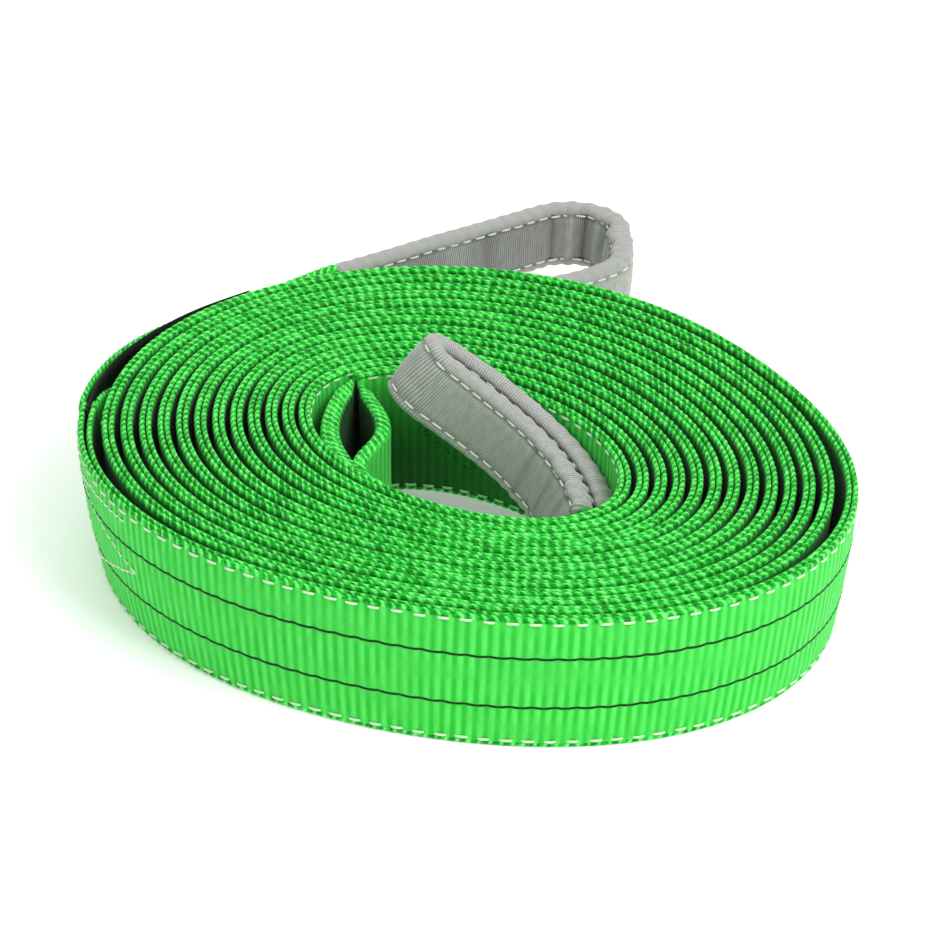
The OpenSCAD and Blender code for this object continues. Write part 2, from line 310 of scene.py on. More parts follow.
class Nodes:
    """Short names for building a node tree."""

    def __init__(self, name):
        self.material = bpy.data.materials.new(name)
        self.material.use_nodes = True
        self.tree = self.material.node_tree
        self.tree.nodes.clear()

    def add(self, kind, settings=None, **inputs):
        node = self.tree.nodes.new(kind)
        for key, value in (settings or {}).items():
            setattr(node, key, value)
        for key, value in inputs.items():
            self.link(node.inputs[int(key[1:]) if key[0] == "_" else key.replace("__", " ")], value)
        return node

    def link(self, socket, value):
        if isinstance(value, bpy.types.NodeSocket):
            self.tree.links.new(value, socket)
        else:
            socket.default_value = value

    def math(self, operation, a, b=0.0, c=0.0):
        return self.add("ShaderNodeMath", {"operation": operation}, _0=a, _1=b, _2=c).outputs[0]

    def wave(self, x, pitch):
        """A cosine between 0 and 1."""
        angle = self.math("MULTIPLY", x, 2 * math.pi / pitch)
        return self.math("MULTIPLY_ADD", self.math("COSINE", angle), 0.5, 0.5)

    def mix(self, share, a, b):
        node = self.add("ShaderNodeMix", {"data_type": "RGBA"})
        self.link(node.inputs[0], share)
        self.link(node.inputs[6], a)
        self.link(node.inputs[7], b)
        return node.outputs[2]

    def between(self, x, low, high):
        node = self.add("ShaderNodeMapRange", {"interpolation_type": "SMOOTHSTEP"}, _0=x, _1=low, _2=high)
        return node.outputs[0]

    def noise(self, scale, detail=2.0, vector=None, stretch=(1, 1, 1)):
        """Noise in millimetres of the piece's own cloth, or of space if there is no vector."""
        if vector is None:
            vector = self.add("ShaderNodeTexCoord").outputs["Object"]
            stretch = tuple(value / MM for value in stretch)
        moved = self.add("ShaderNodeVectorMath", {"operation": "MULTIPLY"}, _0=vector, _1=stretch)
        texture = self.add("ShaderNodeTexNoise", None, Vector=moved.outputs[0], Scale=scale, Detail=detail)
        return texture.outputs[0]

    def cloth(self):
        vector = self.add("ShaderNodeAttribute", {"attribute_name": "cloth"}).outputs["Vector"]
        parts = self.add("ShaderNodeSeparateXYZ", None, _0=vector)
        return vector, parts.outputs[0], parts.outputs[1], parts.outputs[2]

    def finish(self, colour, rough, height, distance, sheen, specular):
        bump = self.add("ShaderNodeBump", None, Strength=1.0, Distance=distance * MM, Height=height)
        shader = self.add(
            "ShaderNodeBsdfPrincipled", None,
            Base__Color=colour, Roughness=rough, Normal=bump.outputs[0])
        shader.inputs["Sheen Weight"].default_value = sheen
        shader.inputs["Sheen Roughness"].default_value = 0.5
        shader.inputs["Specular IOR Level"].default_value = specular
        output = self.add("ShaderNodeOutputMaterial")
        self.tree.links.new(shader.outputs[0], output.inputs[0])
        return self.material


def rgb(red, green, blue):
    """A linear colour from the values one reads off a screen."""
    def linear(value):
        return value / 12.92 if value <= 0.04045 else ((value + 0.055) / 1.055) ** 2.4
    return (linear(red), linear(green), linear(blue), 1)


def webbing_material():
    """Ribbed woven green, with weft loops along its edges, painted light on rib crests and loop tops and painted
    shade in grooves and pits.
    """
    n = Nodes("woven_green")
    vector, along, high, across = n.cloth()
    edge = n.add("ShaderNodeAttribute", {"attribute_name": "edge"}).outputs["Fac"]
    shade = n.add("ShaderNodeAttribute", {"attribute_name": "shade"}).outputs["Fac"]
    rib = n.wave(along, RIB)
    yarn = n.math("MULTIPLY", n.wave(high, 1.2), n.wave(along, RIB / 2))
    mottle = n.noise(0.9, 3, vector, (0.25, 0.1, 1))
    slow = n.noise(14, 2)
    fade = n.between(n.noise(0.03, 2, vector, (1, 2.5, 0)), 0.35, 0.65)
    # painted light and shade on the ribs: crests lighter, grooves darker, the contrast varied at random
    rib = n.math("MULTIPLY_ADD", n.math("SUBTRACT", rib, 0.5), n.math("MULTIPLY_ADD", fade, 0.7, 0.3), 0.5)
    face = n.mix(n.between(rib, 0.05, 0.95), rgb(0.16, 0.76, 0.21), rgb(0.35, 0.92, 0.38))
    face = n.mix(n.math("MULTIPLY", n.between(mottle, 0.35, 0.7), 0.25), face, rgb(0.10, 0.66, 0.16))
    slanted = n.math("MULTIPLY_ADD", across, BEAD_SLANT, along)
    bead = n.wave(slanted, RIB)
    half = n.wave(slanted, RIB / 2)
    loop = n.math("ADD", n.math("MULTIPLY", bead, 0.6), n.math("MULTIPLY", half, 0.25))
    loop = n.math("ADD", loop, n.math("MULTIPLY_ADD", n.noise(0.7, 3, vector, (0.5, 0.7, 1.2)), 1.5, -0.75))
    cell = n.math("FLOOR", n.math("DIVIDE", slanted, RIB / 2))
    chance = n.add("ShaderNodeTexWhiteNoise", {"noise_dimensions": "1D"}, W=cell).outputs[0]
    loop = n.math("ADD", loop, n.math("MULTIPLY_ADD", chance, 0.4, -0.17))
    # painted highlights on the weft loops' tops and painted shade in the pits between them, varied at random
    ramp = n.add("ShaderNodeValToRGB", None, Fac=loop)
    stops = ramp.color_ramp.elements
    stops[0].position = 0.12
    stops[0].color = rgb(0.00, 0.50, 0.06)
    stops[1].position = 0.95
    stops[1].color = rgb(0.50, 1.0, 0.50)
    middle = stops.new(0.45)
    middle.color = rgb(0.09, 0.82, 0.20)
    colour = n.mix(edge, face, ramp.outputs[0])
    colour = n.mix(n.math("MULTIPLY", n.between(slow, 0.3, 0.7), 0.22), colour, rgb(0.08, 0.62, 0.14))
    # painted shade: darker toward near-black green where the shade attribute is low
    colour = n.mix(n.math("SUBTRACT", 1.0, shade), colour, rgb(0.0, 0.17, 0.02))
    height = n.math("ADD", n.math("MULTIPLY", yarn, 0.5), n.math("MULTIPLY", mottle, 0.5))
    rough = n.math("MULTIPLY_ADD", mottle, 0.2, 0.55)
    return n.finish(colour, rough, height, 0.22, 0.05, 0.2)


def sleeve_material():
    """Grey woven cloth with fine cross ribs."""
    n = Nodes("woven_grey")
    vector, along, high, _ = n.cloth()
    slanted = n.math("MULTIPLY_ADD", high, 0.12, along)
    rib = n.wave(slanted, 1.2)
    pick = n.wave(high, 0.9)
    mottle = n.noise(0.8, 3, vector, (0.6, 0.25, 0.5))
    slow = n.noise(25, 3)
    shade = n.add("ShaderNodeAttribute", {"attribute_name": "shade"}).outputs["Fac"]
    colour = n.mix(n.between(rib, 0.1, 0.9), rgb(0.54, 0.55, 0.54), rgb(0.73, 0.74, 0.72))
    colour = n.mix(n.math("MULTIPLY", n.between(mottle, 0.3, 0.7), 0.35), colour, rgb(0.47, 0.47, 0.45))
    colour = n.mix(n.math("MULTIPLY", n.between(slow, 0.35, 0.7), 0.2), colour, rgb(0.70, 0.69, 0.66))
    # painted shade: darker toward near-black where the shade attribute is low
    colour = n.mix(n.math("SUBTRACT", 1.0, shade), colour, rgb(0.05, 0.05, 0.05))
    height = n.math("ADD", rib, n.math("MULTIPLY", n.math("MULTIPLY", pick, mottle), 0.5))
    return n.finish(colour, n.math("MULTIPLY_ADD", mottle, 0.2, 0.65), height, 0.1, 0.3, 0.15)


def thread_material(name, light, dark):
    """Twisted thread."""
    n = Nodes(name)
    vector, along, around, _ = n.cloth()
    strand = n.wave(n.math("MULTIPLY_ADD", around, 0.22, along), 0.9)
    fuzz = n.noise(2.0, 2, vector)
    colour = n.mix(n.between(strand, 0.1, 0.8), dark, light)
    colour = n.mix(n.math("MULTIPLY", n.between(fuzz, 0.4, 0.7), 0.25), colour, dark)
    return n.finish(colour, n.math("MULTIPLY_ADD", fuzz, 0.2, 0.5), strand, 0.1, 0.03, 0.2)


def label_material():
    """Black woven tape."""
    n = Nodes("woven_black")
    vector, along, high, _ = n.cloth()
    weave = n.math("MULTIPLY", n.wave(along, 0.8), n.wave(high, 0.8))
    fuzz = n.noise(0.4, 3, vector)
    colour = n.mix(n.between(fuzz, 0.3, 0.7), rgb(0.01, 0.01, 0.012), rgb(0.05, 0.05, 0.055))
    return n.finish(colour, n.math("MULTIPLY_ADD", fuzz, 0.2, 0.5), weave, 0.08, 0.0, 0.2)


green_cloth = webbing_material()
grey_cloth = sleeve_material()
white_thread = thread_material("white_thread", rgb(0.88, 0.98, 0.84), rgb(0.66, 0.84, 0.62))
black_yarn = thread_material("black_yarn", rgb(0.03, 0.26, 0.08), rgb(0.01, 0.13, 0.03))
# painted shade: a darkened copy of the white thread, for stitches that lie deep in the hole
shaded_thread = thread_material("shaded_thread", rgb(0.22, 0.50, 0.22), rgb(0.10, 0.32, 0.10))
sleeve_thread = thread_material("sleeve_thread", rgb(0.97, 0.98, 0.95), rgb(0.72, 0.73, 0.70))
black_tape = label_material()


# ---- the webbing ---------------------------------------------------------------------------

FEW_ROWS = [2.6, web_top / 2, web_top - 5.5, web_top - 2.6]
OPEN_ROWS = [2.2, lower_seam_z - 0.5, lower_seam_z, lower_seam_z + 0.5, lower_seam_z + 1.2, 7, 12, 17.5,
             lower_tracer_z, 21.5, 26, 31, 36, 40.5, upper_tracer_z, 45, 50, 55,
             upper_seam_z - 1.2, upper_seam_z - 0.5, upper_seam_z, upper_seam_z + 0.5, web_top - 2.2]
# Share of the ply's thickness and depth below the edge, over a rounded edge from one face to the other
ROUND_EDGE = [(0.0, 2.2), (0.05, 1.1), (0.22, 0.35), (0.5, 0.0), (0.78, 0.35), (0.95, 1.1), (1.0, 2.2)]
SEAM_PITCH = 9.8
THROAT_PART = 1.5             # how far the two plies stand apart where the outer eye's legs begin
THROAT_REACH = 70             # length over which they close again
GAP_SHADE = 0.10              # how much light reaches the cloth deep between two turns
HOLE_SHADE = (0.03, 0.40)     # and the wall of the hole near the floor, on its dark and its bright side
BRIGHT_SIDE = 5               # the direction of that bright side
LEAF_SHADE = 0.07             # and the cloth between the inner eye's two legs


def weave_at(u, ply_shift):
    """Distance along the weave: the ribs' spacing wavers a little, and each ply has its own phase."""
    return u + ply_shift + 1.1 * wander(u, 3, 61)


def seam_groove(u, z):
    """The seams draw the cloth in, most of all between two stitches."""
    pull = 0.22 + 0.2 * (0.5 - 0.5 * np.cos(2 * math.pi * u / SEAM_PITCH))
    near_seam = np.exp(-((z - upper_seam_z) / 0.8)**2) + np.exp(-((z - lower_seam_z) / 0.8)**2)
    return pull * near_seam


def shade_between(z):
    """Painted shade: cloth between two turns is darkened a few millimetres below the edges."""
    return GAP_SHADE + (1 - GAP_SHADE) * ease((z - (web_top - 3.6)) / 3.2)


def shade_in_hole(z, angle):
    # painted shade on the hole's wall: darker low down, darkest on the side away from BRIGHT_SIDE
    bright = 0.5 + 0.5 * np.cos(np.radians(angle - BRIGHT_SIDE))
    low = HOLE_SHADE[0] + (HOLE_SHADE[1] - HOLE_SHADE[0]) * bright
    return low + (1 - low) * ease(z / web_top) ** (3.2 - 2 * bright)


def ply_strip(name, line, outer_off, inner_off, outer_open, inner_open, ply_shift):
    """One ply along a stretch of the coil. An open face shows its ribs and the pull of the seams."""
    outer_rows = OPEN_ROWS if outer_open else FEW_ROWS
    inner_rows = OPEN_ROWS if inner_open else FEW_ROWS
    rows = [(0.0, z, 0.0, 1) for z in outer_rows]
    rows += [(w, web_top - drop, 1.0, 0) for w, drop in ROUND_EDGE]
    rows += [(1.0, z, 0.0, 2) for z in inner_rows[::-1]]
    rows += [(w, drop, 1.0, 0) for w, drop in ROUND_EDGE[::-1]]
    w, level, edge, side = (np.array(column, float)[None] for column in zip(*rows))
    u = line.u[:, None]
    weave = weave_at(u, ply_shift)
    thick = inner_off - outer_off
    apart = THROAT_PART * (1 - ease(u / THROAT_REACH)) * (ply_shift > 0)
    off = outer_off - apart + thick * w
    z = np.broadcast_to(level, (len(line.u), level.shape[1])).copy()
    strength = 0.75 + 0.35 * wander(u, 41, 90) + 0.25 * wander(level, 43, 14)
    rib = 0.5 + 0.5 * np.cos(2 * math.pi * weave / RIB)
    slanted = weave + BEAD_SLANT * w * abs(thick)
    bead = (0.72 * (0.5 + 0.5 * np.cos(2 * math.pi * slanted / RIB))
            + 0.28 * (0.5 + 0.5 * np.cos(4 * math.pi * slanted / RIB + 1)))
    bead = bead + 0.22 * wander(u + 3 * w, 17 + int(10 * ply_shift), 3.1)
    open_face = ((side == 1) & outer_open) | ((side == 2) & inner_open)
    rise = np.where(open_face, RIB_RISE, HIDDEN_RISE)
    groove = seam_groove(u, z) * open_face
    face_swell = np.where(side == 1, 1, -1) * (rise * strength * (rib - 0.8) - groove - SQUEEZE)
    edge_swell = (0.5 - w) * 2 * (BEAD_SWELL * (bead - 0.5) - SQUEEZE)
    swell = np.where(side == 0, edge_swell, face_swell)
    top = z > web_top / 2
    crest = 1 - 1.3 * np.abs(w - 0.5)
    z += np.where(edge > 0, np.where(top, 1, -1) * BEAD_RISE * (bead - 0.7) * crest, 0)
    z += np.where(top, 1, 0) * 0.45 * wander(u, 11, 83)
    # painted shade: the edges darker toward the faces, the bottom edges darker, cloth between turns and in the
    # hole in shade
    shade = np.where(side == 0, 1 - 0.4 * np.abs(2 * w - 1) ** 4, shade_between(z))
    shade = np.where((side == 0) & ~top, 0.5, shade)
    if outer_open:
        shade = np.where((side == 1) | ((side == 0) & (w < 0.5)), 1, shade)
    if inner_open:
        angle = np.interp(u, coil.u, coil_angle)
        shade = np.where(side == 2, shade_in_hole(z, angle), np.where((side == 0) & (w > 0.5), 1, shade))
    attributes = {
        "cloth": np.stack(np.broadcast_arrays(weave, z, w * abs(thick) + ply_shift), -1),
        "edge": np.broadcast_to(edge, z.shape),
        "shade": np.broadcast_to(shade, z.shape),
    }
    return sweep(name, line, off + swell, z, attributes, green_cloth)


ply_sides = long_sides(outlines("outer_ply")[0])
PLY = float(np.linalg.norm(ply_sides[0][0] - ply_sides[1][0]))
GAP = 0.1
SHIFT = {"outer_ply": 0.0, "inner_ply": 2.1}
OFFSETS = {"outer_ply": (0.0, -PLY), "inner_ply": (-PLY - GAP, -2 * PLY - GAP)}
body_t = 2 * PLY + GAP

# The two stretches with an open face run a little past a full turn, where another turn covers them
first_turn_end = coil_u(THROAT_ANGLE + 366)
last_turn_start = coil_u(coil_angle[-1] - 372)
half_way = (first_turn_end + last_turn_start) / 2
stretches = [
    ("outer_turn", 0, first_turn_end, True, False),
    ("second_turns", first_turn_end, half_way, False, False),
    ("third_turns", half_way, last_turn_start, False, False),
    ("inner_turn", last_turn_start, coil.u[-1], False, True),
]


def column_at(u):
    """The column of the coil line nearest to a distance, so that neighbouring stretches share it."""
    return float(coil.u[int(np.argmin(np.abs(coil.u - u)))])


for node in ("outer_ply", "inner_ply"):
    for label, start, end, outside, inside in stretches:
        strip = ply_strip(
            f"{node}_{label}", coil.part(column_at(start), column_at(end)), *OFFSETS[node],
            outside and node == "outer_ply", inside and node == "inner_ply", SHIFT[node])
        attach(strip, "coil")
        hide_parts(node)


# ---- seams, tracers and splices ------------------------------------------------------------

def on_coil(u, z, off):
    """Points on a face of the coil, with the directions along the webbing and out of it."""
    at = np.stack([np.interp(u, coil.u, coil.at[:, k]) for k in (0, 1)], 1)
    right = np.stack([np.interp(u, coil.u, coil.right[:, k]) for k in (0, 1)], 1)
    right /= np.linalg.norm(right, axis=1)[:, None]
    flat = np.zeros((len(at), 1))
    points = lean(np.concatenate([at + off * right, np.broadcast_to(z, len(at))[:, None]], 1))
    ahead = np.concatenate([np.stack([-right[:, 1], right[:, 0]], 1), flat], 1)
    return points, ahead, np.concatenate([right, flat], 1)


def edge_seam(node, z):
    """One row of stitches on each face, all the way along the coil."""
    random = np.random.default_rng(7)
    u = np.arange(6, coil.u[-1] - 6, SEAM_PITCH)
    rows = []
    for off, sign, reach in ((0.0, 1, 5.6), (-body_t, -1, 5.2)):
        where = u + random.uniform(-0.4, 0.4, len(u))
        open_turn = where < first_turn_end if sign > 0 else where > last_turn_start
        sunk = np.where(open_turn, 0.12, 1.0)
        middles, ahead, out = on_coil(where, z + random.uniform(-0.15, 0.15, len(u)), off)
        middles -= sign * out * sunk[:, None]
        rows.append((middles, ahead * sign, out * sign, reach + random.uniform(-0.5, 0.5, len(u))))
    joined = [np.concatenate(parts) for parts in zip(*rows)]
    seam = stitches(node + "_thread", *joined, white_thread)
    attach(seam, "coil")
    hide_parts(node)


edge_seam("upper_edge_seam", upper_seam_z)
edge_seam("lower_edge_seam", lower_seam_z)


def tracer(node, z_mid):
    """A black yarn woven into the outside face, which weaves up and down over the ribs."""
    u = coil.u[:, None]
    weave = weave_at(u, 0)
    turn = np.linspace(0, 2 * math.pi, 8, endpoint=False)[None]
    shut = np.where(u < first_turn_end, 1.0, 0.45)
    sway = 0.2 * np.sin(2 * math.pi * weave / (2 * RIB)) + 0.3 * wander(u, 5, 47)
    z = z_mid + sway + 0.6 * np.sin(turn)
    ride_up = RIB_RISE * (0.5 + 0.5 * np.cos(2 * math.pi * weave / RIB) - 0.8) * shut
    across = ride_up - SQUEEZE - 0.02 + 0.3 * np.cos(turn) * shut
    cloth = np.stack(np.broadcast_arrays(u, turn, z_mid * np.ones_like(u)), -1)
    return sweep(node + "_yarn", coil, across, z, {"cloth": cloth}, black_yarn)


for node, z in (("upper_tracer", upper_tracer_z), ("lower_tracer", lower_tracer_z)):
    yarn = tracer(node, z)
    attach(yarn, "coil")
    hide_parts(node)


def splice(node, corners, off, sign, thread):
    """Rows of stitches in a zigzag; corners are distances along the coil and heights."""
    random = np.random.default_rng(13)
    rows = []
    for (u0, z0), (u1, z1) in zip(corners, corners[1:]):
        if u0 is None or u1 is None:
            continue
        count = max(int(round(math.hypot(u1 - u0, z1 - z0) / 5.6)), 1)
        share = (np.arange(count) + 0.5) / count
        u = u0 + (u1 - u0) * share
        z = z0 + (z1 - z0) * share + random.uniform(-0.3, 0.3, count)
        middles, ahead, out = on_coil(u, z, off)
        slope = math.atan2(z1 - z0, u1 - u0)
        ahead = ahead * math.cos(slope) + np.array([0, 0, math.sin(slope)])
        rows.append((middles - sign * out * 0.05, ahead, out * sign, np.full(count, 4.3)))
    joined = [np.concatenate(parts) for parts in zip(*rows)]
    piece = stitches(node + "_thread", *joined, thread, width=1.25, height=0.8)
    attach(piece, "coil")
    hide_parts(node)


LIFT = (None, None)           # the needle goes on to another row
outer_rows = [(186, 55), (212.5, 32), (198, 18), (186, 30), LIFT, (187, 46), (199, 54.3), (211, 55), LIFT,
              (190, 8), (198, 18)]
splice("outer_splice_stitching",
       [(a and coil_u(a), z) for a, z in outer_rows], 0.0, 1, white_thread)
inner_end_u = coil.u[-1]
inner_rows = [(70, 54), (35, 30), (60, 14), (82, 30), (70, 54)]
splice("inner_splice_stitching",
       [(inner_end_u - back, z) for back, z in inner_rows], -body_t, -1, shaded_thread)


# ---- legs and label of the outer eye -------------------------------------------------------

near_loop, far_loop = sorted(outlines("outer_eye_legs"), key=lambda loop: loop[:, 1].max())
sleeve_low, sleeve_high = (corner.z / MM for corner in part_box("outer_eye_sleeve"))
eye_hinge = np.array(joints["outer_eye_swing"]["pos_m"]) / MM
FAR_HEADING = 38.6            # of the outer eye's far side, away from the coil


def folding_leg(name, points, start_t, end_t, z_start, z_end, turn_at, turn_by, ply_shift, hollow=None):
    """A ply that leaves the coil flat and is folded lengthwise by the time it reaches its sleeve."""
    line = Line(points, COLUMN)
    share = ease((line.u / line.u[-1] - turn_at) / (turn_by - turn_at))[:, None]
    rows = [(0.0, x, 0.0) for x in np.linspace(0.045, 0.955, 14)]
    rows += [(0.13, 0.99, 1.0), (0.5, 1.0, 1.0), (0.87, 0.99, 1.0)]
    rows += [(1.0, x, 0.0) for x in np.linspace(0.955, 0.045, 14)]
    rows += [(0.87, 0.01, 1.0), (0.5, 0.0, 1.0), (0.13, 0.01, 1.0)]
    w, level, edge = (np.array(column)[None] for column in zip(*rows))
    low = z_start[0] + (z_end[0] - z_start[0]) * share
    high = z_start[1] + (z_end[1] - z_start[1]) * share
    thick = start_t + (end_t - start_t) * share
    thick = PLY + (thick - PLY) * ease(line.u / 15)[:, None]
    weave = weave_at(line.u[:, None], ply_shift)
    rib = 0.5 + 0.5 * np.cos(2 * math.pi * weave / RIB)
    bead = 0.5 + 0.5 * np.cos(2 * math.pi * (weave + BEAD_SLANT * w * thick) / RIB)
    z = low + (high - low) * level
    z = z + edge * np.where(level > 0.5, 1, -1) * 0.7 * (bead - 0.75)
    shut = 1 - share * 0.35 * (1 - np.abs(2 * w - 1)) * (level < 0.1)
    off = thick * (w - 0.5) * shut
    off = off + np.sign(w - 0.5) * (1 - edge) * RIB_RISE * 0.7 * (rib - 0.9)
    cloth = np.stack(np.broadcast_arrays(weave, z, w * thick + ply_shift), -1)
    # painted shade: the leg's faces darker than its edges, and the face toward the hollow between the legs darker
    # still
    shade = np.where(edge > 0, 1.0, 0.75)
    if hollow is not None:
        shade = np.where((edge == 0) & (w == hollow), LEAF_SHADE, shade)
    attributes = {
        "cloth": cloth,
        "edge": np.broadcast_to(edge, z.shape),
        "shade": np.broadcast_to(shade, z.shape),
    }
    return sweep(name, line, off, z, attributes, green_cloth)


def tail_blend(piece):
    """Bakes the piece's placement into its mesh."""
    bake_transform(piece)


far_points = middle_line(far_loop, throat)
far_in = eye_hinge[:2] + 10 * heading(FAR_HEADING)
far_points = np.concatenate([[throat + [0, -1]], far_points, [far_in]])
far_leg = folding_leg(
    "outer_eye_far_leg", far_points, PLY, 7.0, (0.3, web_top - 0.6), (15.5, 47), 0.1, 1.0, 0.0)
near_points = middle_line(near_loop, throat)
near_step = near_points[-1] - near_points[-2]
near_end = near_points[-1] + 11 * near_step / np.linalg.norm(near_step)
near_points = np.concatenate([[coil.beside(-1.5 * PLY - GAP)[0]], near_points, [near_end]])
near_leg = folding_leg(
    "outer_eye_near_leg", near_points, PLY, 4.2, (0.3, web_top - 2), (15.5, 44), 0.0, 0.4, 1.3)
for leg in (far_leg, near_leg):
    tail_blend(leg)
    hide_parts("outer_eye_legs")

label_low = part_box("identification_label")[0].z / MM
label_high = web_top + 0.6
label_angles = np.arange(540, 486, -3)
label_gap = 6.6 - 5.3 * ease((532 - label_angles) / 42)
label_places = [int(np.argmin(np.abs(coil_angle - a))) for a in label_angles]
label_points = [coil.beside(gap)[place] for place, gap in zip(label_places, label_gap)]
label_line = Line(label_points, 1.0)
tape = 0.3
label_off = 0.25 * wander(label_line.u, 21, 17)[:, None]
label_rows = [(-tape, z) for z in np.linspace(label_low, label_high, 12)]
label_rows += [(tape, z) for z in np.linspace(label_high, label_low, 12)]
side, level = (np.array(column)[None] for column in zip(*label_rows))
bulge = 1 + 0.6 * np.sin(math.pi * (level - label_low) / (label_high - label_low))
label_sag = 1.5 * ease(label_line.u / label_line.u[-1])[:, None]
label_z = level - label_sag * (level - label_low) / (label_high - label_low)
label = sweep(
    "identification_label_tape", label_line, side + label_off * bulge, label_z,
    {"cloth": np.stack(np.broadcast_arrays(label_line.u[:, None], label_z, side), -1)}, black_tape)
tail_blend(label)
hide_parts("identification_label")

rows = np.arange(16, 56, 6.0)
middles = np.array([[*label_line.at[6], z] for z in rows])
outward = np.array([*(-label_line.right[6]), 0.0])
bar = stitches(
    "label_stitching_thread", middles - outward * 0.6, np.tile([0, 0, 1.0], (len(rows), 1)),
    np.tile(-outward, (len(rows), 1)), 4.4, white_thread, width=0.9, height=0.6)
tail_blend(bar)
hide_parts("label_stitching")


# ---- sleeves -------------------------------------------------------------------------------

SLEEVE_SEAM_INSET = 5.0
SLEEVE_PITCH = 8.2
INSIDE_SHADE = 0.3            # how much darker an eye is on its inside


def sleeve_section(half_w):
    """Offsets and heights round a stuffed sleeve: flat panels, pulled in at the seams, with round rolls."""
    seam = half_w - SLEEVE_SEAM_INSET
    panel = np.linspace(-seam, seam, 13)
    turn = np.radians(np.linspace(12, 168, 11))
    roll_off = np.cos(turn)
    roll_z = np.sin(turn)
    rows = [(1.0, z, 0.0) for z in panel]
    rows += [(x, seam, y) for x, y in zip(roll_off, roll_z)]
    rows += [(-1.0, z, 0.0) for z in panel[::-1]]
    rows += [(x, -seam, -y) for x, y in zip(-roll_off, roll_z)]
    side, level, roll = (np.array(column)[None] for column in zip(*rows))
    return side, level, roll, seam


def sleeve_strip(name, line, half_w, half_t, z_mid, folds, pucker, shape):
    """A sleeve along a line. folds are (distance, depth, width, side) creases across the cloth."""
    side, level, roll, seam = sleeve_section(half_w)
    u = line.u[:, None]
    stitch = 0.5 + 0.5 * np.cos(2 * math.pi * u / SLEEVE_PITCH)
    on_roll = np.abs(roll) > 0
    pull = np.exp(-((np.abs(level) - seam) / 1.1)**2) * ~on_roll
    # painted shade on the eye's inside face and where the seams pull the cloth in
    shade = 1 - INSIDE_SHADE * (side > 0) * ~on_roll - 0.3 * pull
    belly = 1 - (level / seam)**2
    swell = half_t - 1.1 + 0.7 * belly - pull * (0.7 + 0.5 * (1 - stitch))
    swell = swell + 0.25 * wander(u, 31, 19) * belly
    tight = pucker(u)
    roll_t = half_t - 1.0 + 0.8 * (1 - np.abs(side)) + tight * (stitch - 0.4)
    off = np.where(on_roll, np.sign(side) * np.abs(side) ** 0.75 * roll_t, side * swell)
    for distance, depth, width, facing in folds:
        crease = depth * np.exp(-((u - distance) / width)**2)
        off = off + crease * np.where(np.sign(side) == facing, 1, 0) * np.where(on_roll, np.abs(side), 1)
        # painted shade and light along the folds, darker or lighter by the sign of the crease
        shade = shade + 0.3 * crease * (np.sign(side) == facing) * ~on_roll
    rise = (SLEEVE_SEAM_INSET - 0.6) * np.abs(roll) ** 0.8 + tight * (stitch - 0.5) * np.abs(roll)
    z = level + np.sign(roll) * rise + 0.35 * wander(u, 37, 29)
    hem = 1 - 0.22 * np.exp(-(u / 1.4)**2) - 0.22 * np.exp(-((u - line.u[-1]) / 1.4)**2)
    cloth = np.stack(np.broadcast_arrays(u, z, off), -1)
    attributes = {"cloth": cloth, "shade": np.clip(np.broadcast_to(shade, z.shape), 0.08, 1)}
    return sweep(name, line, off * hem, z * hem + z_mid, attributes, grey_cloth, shape)


def sleeve_stitches(name, line, half_t, z_mid, level, shape):
    """Rows of stitches on both faces of a sleeve, at one height."""
    random = np.random.default_rng(int(abs(level) * 10) + len(name))
    u = np.arange(SLEEVE_PITCH / 2 + 1, line.u[-1] - 3, SLEEVE_PITCH)
    groups = []
    for facing in (1, -1):
        where = u + random.uniform(-0.35, 0.35, len(u))
        plan = np.stack([np.interp(where, line.u, line.at[:, k]) for k in (0, 1)], 1)
        right = np.stack([np.interp(where, line.u, line.right[:, k]) for k in (0, 1)], 1)
        right /= np.linalg.norm(right, axis=1)[:, None]
        off = facing * (half_t - 1.55)
        z = z_mid + level + random.uniform(-0.25, 0.25, len(u)) + 0.35 * wander(where, 37, 29)
        middles = np.concatenate([plan + off * right, z[:, None]], 1)
        flat = np.zeros((len(u), 1))
        ahead = np.concatenate([np.stack([-right[:, 1], right[:, 0]], 1), flat], 1) * facing
        out = np.concatenate([right, flat], 1) * facing
        groups.append((middles, ahead, out, 5.7 + random.uniform(-0.4, 0.4, len(u))))
    joined = [np.concatenate(parts) for parts in zip(*groups)]
    ends = shape(joined[0] + joined[1]) - shape(joined[0] - joined[1])
    faces = shape(joined[0] + joined[2]) - shape(joined[0] - joined[2])
    joined[0] = shape(joined[0])
    joined[1] = ends / np.linalg.norm(ends, axis=1)[:, None]
    joined[2] = faces / np.linalg.norm(faces, axis=1)[:, None]
    return stitches(name, *joined, sleeve_thread, width=1.25, height=0.85)


def folded_band(name, line, half_w, half_t, z_mid, shape):
    """The webbing inside a sleeve, folded lengthwise, with its fold on top."""
    turn = np.linspace(0, 2 * math.pi, 24, endpoint=False)[None]
    off = half_t * np.sign(np.cos(turn)) * np.abs(np.cos(turn)) ** 0.35
    z = half_w * np.sign(np.sin(turn)) * np.abs(np.sin(turn)) ** 0.7
    weave = line.u[:, None]
    rib = 1 + 0.04 * np.cos(2 * math.pi * weave / RIB)
    off, z = off * rib, np.broadcast_to(z, (len(weave), z.shape[1]))
    cloth = np.stack(np.broadcast_arrays(weave, z, off), -1)
    # painted shade: the band inside the sleeve is darkened all over
    attributes = {"cloth": cloth, "edge": np.zeros(z.shape), "shade": np.full(z.shape, 0.6)}
    return sweep(name, line, off, z + z_mid, attributes, green_cloth, shape)


# ---- outer eye -----------------------------------------------------------------------------

